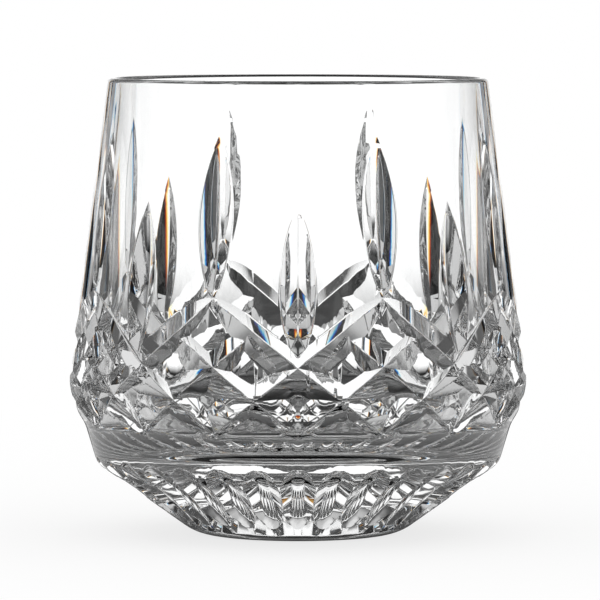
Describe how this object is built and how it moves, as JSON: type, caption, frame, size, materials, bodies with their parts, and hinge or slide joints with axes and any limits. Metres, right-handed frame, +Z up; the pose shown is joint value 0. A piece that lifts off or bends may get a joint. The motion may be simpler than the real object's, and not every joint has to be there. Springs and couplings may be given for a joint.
{
  "type": "cut crystal tumbler",
  "caption": "Low, rounded drinking tumbler of clear cut crystal: upright lancet cuts over a band of diamond cutting, a thick base with flutes around it and a ground foot.",
  "frame": {"origin": "centre of the foot, on the plane the glass stands on", "axes": "+Z up along the axis of the glass, -Y towards the short lancet that faces the viewer in the picture"},
  "size_m": [0.084, 0.084, 0.084],
  "materials": {
    "crystal": "polished"
  },
  "bodies": {
    "root": {"crystal_tumbler": "crystal"}
  },
  "joints": []
}
